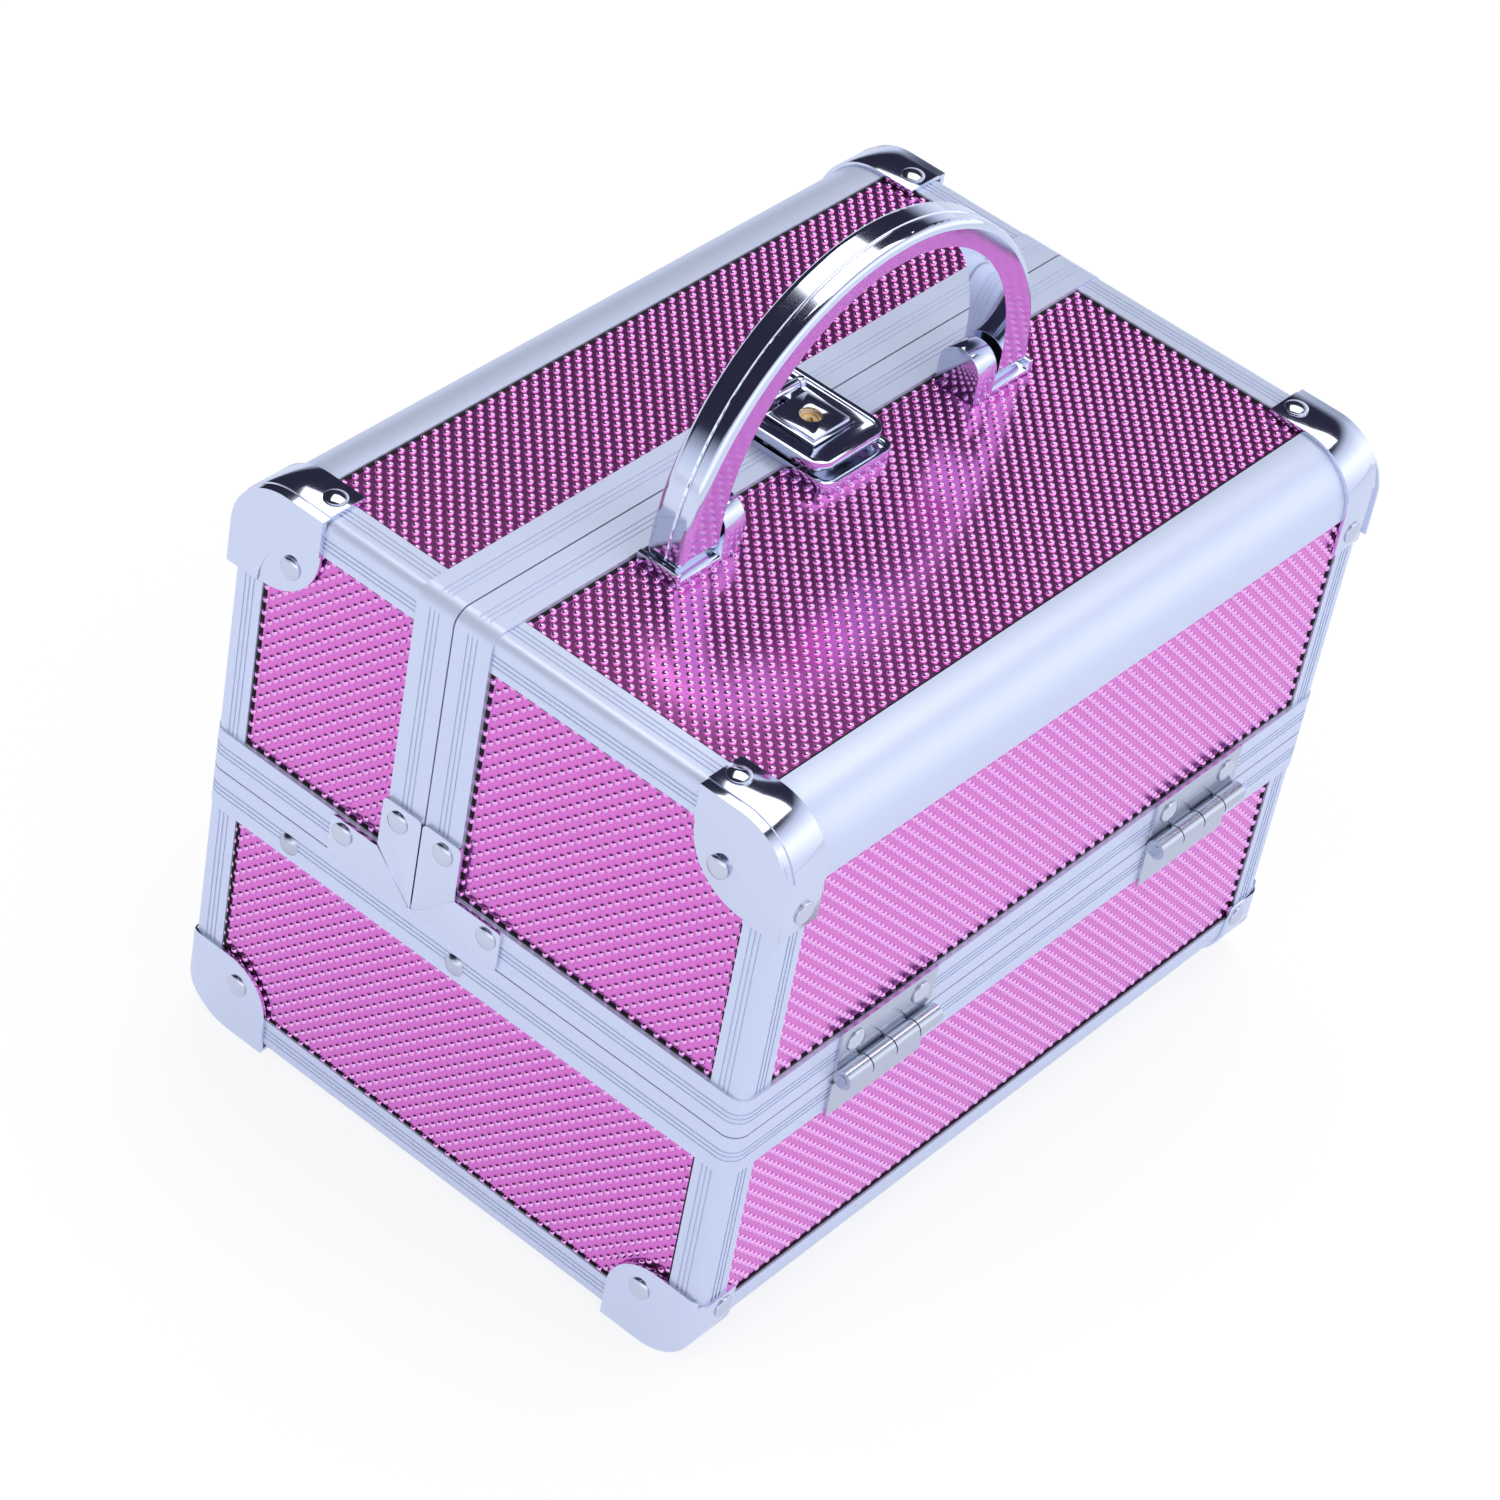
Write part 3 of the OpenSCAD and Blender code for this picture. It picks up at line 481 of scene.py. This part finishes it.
def rivet_tree():
    """A domed head on each point, standing along the point's own axis."""
    tree, given, result = new_tree("domed rivet heads", geometry="Geometry",
                                   head_width="Float", head_height="Float", plating="Material")
    nodes, link, maths = tree.nodes, tree.links.new, maths_in(tree)
    radius = maths("MULTIPLY", given["Head Width"], 0.5)

    def dome(z):
        """A steep wall at the rim that runs into a low crown."""
        share = maths("MAXIMUM", maths("DIVIDE", z, radius), 0)
        form = nodes.new("ShaderNodeMix")
        form.inputs["Factor"].default_value = dome_share
        link(maths("MULTIPLY", share, wall_steepness, clamp=True), form.inputs["A"])
        link(maths("POWER", share, dome_power, clamp=True), form.inputs["B"])
        return maths("MULTIPLY", form.outputs["Result"], given["Head Height"])

    head = pressed(tree, ball_in(tree, head_segments, head_rings, radius), dome)
    axis = nodes.new("GeometryNodeInputNamedAttribute")
    axis.data_type = "FLOAT_VECTOR"
    axis.inputs["Name"].default_value = "rivet_axis"
    aim = nodes.new("FunctionNodeAlignRotationToVector")
    aim.axis = "Z"
    link(axis.outputs["Attribute"], aim.inputs["Vector"])
    spread = nodes.new("GeometryNodeInstanceOnPoints")
    link(given["Geometry"], spread.inputs["Points"])
    link(head, spread.inputs["Instance"])
    link(aim.outputs[0], spread.inputs["Rotation"])
    dressed(tree, spread.outputs[0], given["Plating"], result)
    return tree


def loose_boxes(mesh):
    """The lowest and highest corners of each separate solid in a mesh."""
    parent = list(range(len(mesh.vertices)))

    def root(i):
        while parent[i] != i:
            parent[i] = parent[parent[i]]
            i = parent[i]
        return i

    seen = {}
    for v in mesh.vertices:
        key = tuple(round(c / micrometre) for c in v.co)
        if key in seen:
            parent[root(v.index)] = root(seen[key])
        else:
            seen[key] = v.index
    for edge in mesh.edges:
        a, b = edge.vertices
        parent[root(a)] = root(b)
    groups = {}
    for v in mesh.vertices:
        groups.setdefault(root(v.index), []).append(v.co)
    return [(Vector([min(c[k] for c in group) for k in range(3)]),
             Vector([max(c[k] for c in group) for k in range(3)])) for group in groups.values()]


heads = rivet_tree()
for body in shells:
    solids = loose_boxes(node[body + "_rivets"].data)
    seats = bpy.data.meshes.new(body + " rivet seats")
    places, axes = [], []
    for low, high in solids:
        span, middle = high - low, (low + high) / 2
        thin = min(range(3), key=lambda k: span[k])
        out = Vector((0, 0, 0))
        out[thin] = 1 if middle[thin] > 0 else -1
        seat = middle.copy()
        seat[thin] = low[thin] if out[thin] > 0 else high[thin]
        places.append(seat)
        axes.append(out)
    seats.from_pydata(places, [], [])
    stored = seats.attributes.new("rivet_axis", "FLOAT_VECTOR", "POINT")
    stored.data.foreach_set("vector", [c for axis in axes for c in axis])
    low, high = solids[0]
    width, height = max(high - low), min(high - low)
    rivets = grown(body + "_rivet_heads", heads, seats,
                   head_width=width, head_height=height, plating=nickel)
    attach(rivets, body)
    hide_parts(body + "_rivets")

# ---------------------------------------------------------------------------
# Hinges, pivots and arms.
# Pressed zinc plated leaves on steel pins, and flat steel arms for the tray.
# ---------------------------------------------------------------------------
zinc = finish("bright zinc", "#C9CDD8", metallic=1, roughness=0.2)
for name in ("base_hinge_leaves", "front_lid_hinge_leaves", "rear_lid_hinge_leaves",
             "hinge_pins", "arm_pivots", "tray_link_studs", "front_arms", "rear_arms",
             "tray_hangers", "tray_pivots", "handle_pins", "latch_flap_pin", "latch_hook"):
    cover(name, zinc)

# ---------------------------------------------------------------------------
# Handle and its lugs.
# A die-cast arch with a groove along its back, hung between two cast lugs,
# polished and chromium plated.
# ---------------------------------------------------------------------------
cover("handle", chrome)
smooth_by_angle(node["handle"].data)
eased("handle_lugs", chrome)

# ---------------------------------------------------------------------------
# Latch.
# A pressed plate on the rear lid reaches over a shallow catch on the front
# lid. A square flap with a key lock hooks the two together.
# ---------------------------------------------------------------------------
for name in ("latch_plate", "latch_catch", "latch_flap"):
    eased(name, chrome, 0.18 * mm)
brass = finish("turned brass", "#F0D4A4", metallic=0.85, roughness=0.35)
cover("key_cylinder", brass)

# ---------------------------------------------------------------------------
# Mirror and tray.
# A silvered acrylic mirror on the rear lid's lining, and a moulded black
# plastic tray with two dividers.
# ---------------------------------------------------------------------------
silvering = finish("silvered acrylic", "#E9ECEF", metallic=1, roughness=0.02)
cover("mirror_glass", silvering)
tray_plastic = finish("moulded black plastic", "#1D1D21", roughness=0.45)
cover("tray", tray_plastic)
cover("tray_dividers", tray_plastic)

# ---------------------------------------------------------------------------
# Studio.
# A white paper floor, two soft boxes beside the case that the metal doesn't
# mirror, and one overhead that it does. What the metal mirrors is bright near
# the floor and overhead, and dark on the far side.
# ---------------------------------------------------------------------------
floor_glow = 0.8
mirrored_floor = (0.76, 0.81, 0.95, 1)
white = (1, 1, 1, 1)
tent_colour, tent_strength = (0.94, 0.97, 1, 1), 0.7
mirrored_strength = 1.5
towards_the_dark = (0, 0.55, 0.83)
mirrored_stops = ((0.3, (0.58, 0.61, 0.7, 1)), (0.5, (0.92, 0.94, 1, 1)),
                  (0.68, (0.42, 0.46, 0.56, 1)), (0.75, (0.016, 0.015, 0.032, 1)))


def glow_in(tree, kind, colour, strength):
    """A light shader; its colour is a value or another node's socket."""
    glow = tree.nodes.new(kind)
    glow.inputs["Strength"].default_value = strength
    if isinstance(colour, tuple):
        glow.inputs["Color"].default_value = colour
    else:
        tree.links.new(colour, glow.inputs["Color"])
    return glow.outputs[0]


def faded(tree, share, first, second):
    """One shader that fades into another."""
    mix = tree.nodes.new("ShaderNodeMixShader")
    for socket, value in zip(mix.inputs, (share, first, second)):
        tree.links.new(value, socket)
    return mix.outputs[0]


def softbox(name, place, target, size, power, mirrored):
    """A soft rectangular lamp that faces a point."""
    lamp = bpy.data.lights.new(name, "AREA")
    lamp.shape = "RECTANGLE"
    lamp.size, lamp.size_y = size
    lamp.energy = power
    stand = bpy.data.objects.new(name, lamp)
    stand.location = place
    stand.visible_glossy = mirrored
    facing = Vector(target) - Vector(place)
    stand.rotation_euler = facing.to_track_quat("-Z", "Y").to_euler()
    bpy.context.scene.collection.objects.link(stand)


bpy.ops.mesh.primitive_plane_add(size=8, location=(0, 0, 0))
floor = bpy.context.object
floor.name = "floor"
paper = finish("white paper floor", "#F2F2F4", roughness=0.8)
tree = paper.node_tree
maths = maths_in(tree)
path = tree.nodes.new("ShaderNodeLightPath").outputs
tint = tree.nodes.new("ShaderNodeMix")
tint.data_type = "RGBA"
tint.inputs["A"].default_value = mirrored_floor
tint.inputs["B"].default_value = white
tree.links.new(path["Is Camera Ray"], tint.inputs["Factor"])
glow = glow_in(tree, "ShaderNodeEmission", tint.outputs["Result"], 1)
seen = maths("MAXIMUM", path["Is Camera Ray"], path["Is Glossy Ray"])
share = maths("MULTIPLY", seen, floor_glow)
lit = faded(tree, share, tree.nodes["Principled BSDF"].outputs[0], glow)
tree.links.new(lit, tree.nodes["Material Output"].inputs["Surface"])
floor.data.materials.append(paper)

softbox("left box", place=(-1.5, 0.3, 0.9), target=(0, 0, 0.08), size=(1.1, 0.9),
        power=11, mirrored=False)
softbox("right box", place=(0.4, -1.6, 0.8), target=(0, 0, 0.08), size=(1.2, 0.8),
        power=11, mirrored=False)
softbox("top box", place=(0.5, 0.17, 1.65), target=(0, 0, 0.1), size=(1.5, 1.3),
        power=14, mirrored=True)

world = bpy.data.worlds.new("studio")
bpy.context.scene.world = world
world.use_nodes = True
tree = world.node_tree
maths = maths_in(tree)
path = tree.nodes.new("ShaderNodeLightPath").outputs
direction = tree.nodes.new("ShaderNodeTexCoord")
lean = tree.nodes.new("ShaderNodeVectorMath")
lean.operation = "DOT_PRODUCT"
lean.inputs[1].default_value = towards_the_dark
tree.links.new(direction.outputs["Generated"], lean.inputs[0])
ramp = tree.nodes.new("ShaderNodeValToRGB")
stops = ramp.color_ramp.elements
stops.remove(stops[1])
for count, (position, colour) in enumerate(mirrored_stops):
    stop = stops.new(position) if count else stops[0]
    stop.position, stop.color = position, colour
tree.links.new(maths("MULTIPLY_ADD", lean.outputs["Value"], 0.5, 0.5), ramp.inputs[0])
tent = glow_in(tree, "ShaderNodeBackground", tent_colour, tent_strength)
mirrored = glow_in(tree, "ShaderNodeBackground", ramp.outputs[0], mirrored_strength)
paper_white = glow_in(tree, "ShaderNodeBackground", white, 1)
unseen = faded(tree, path["Is Glossy Ray"], tent, mirrored)
around = faded(tree, path["Is Camera Ray"], unseen, paper_white)
tree.links.new(around, tree.nodes["World Output"].inputs["Surface"])

eye = bpy.data.cameras.new("camera")
eye.sensor_width = 36
eye.lens = 119.69
eye.shift_x = -0.0036
eye.shift_y = -0.0109
eye.clip_end = 20
camera = bpy.data.objects.new("camera", eye)
right = Vector((0.64353, -0.75041, 0.15085))
up = Vector((0.41999, 0.51095, 0.75003))
back = Vector((-0.63990, -0.41931, 0.64398))
stand_point = Matrix.Translation((-0.7021, -0.4549, 0.7751))
camera.matrix_world = stand_point @ Matrix((right, up, back)).transposed().to_4x4()
bpy.context.scene.collection.objects.link(camera)
bpy.context.scene.camera = camera
bpy.context.scene.view_settings.view_transform = "Standard"
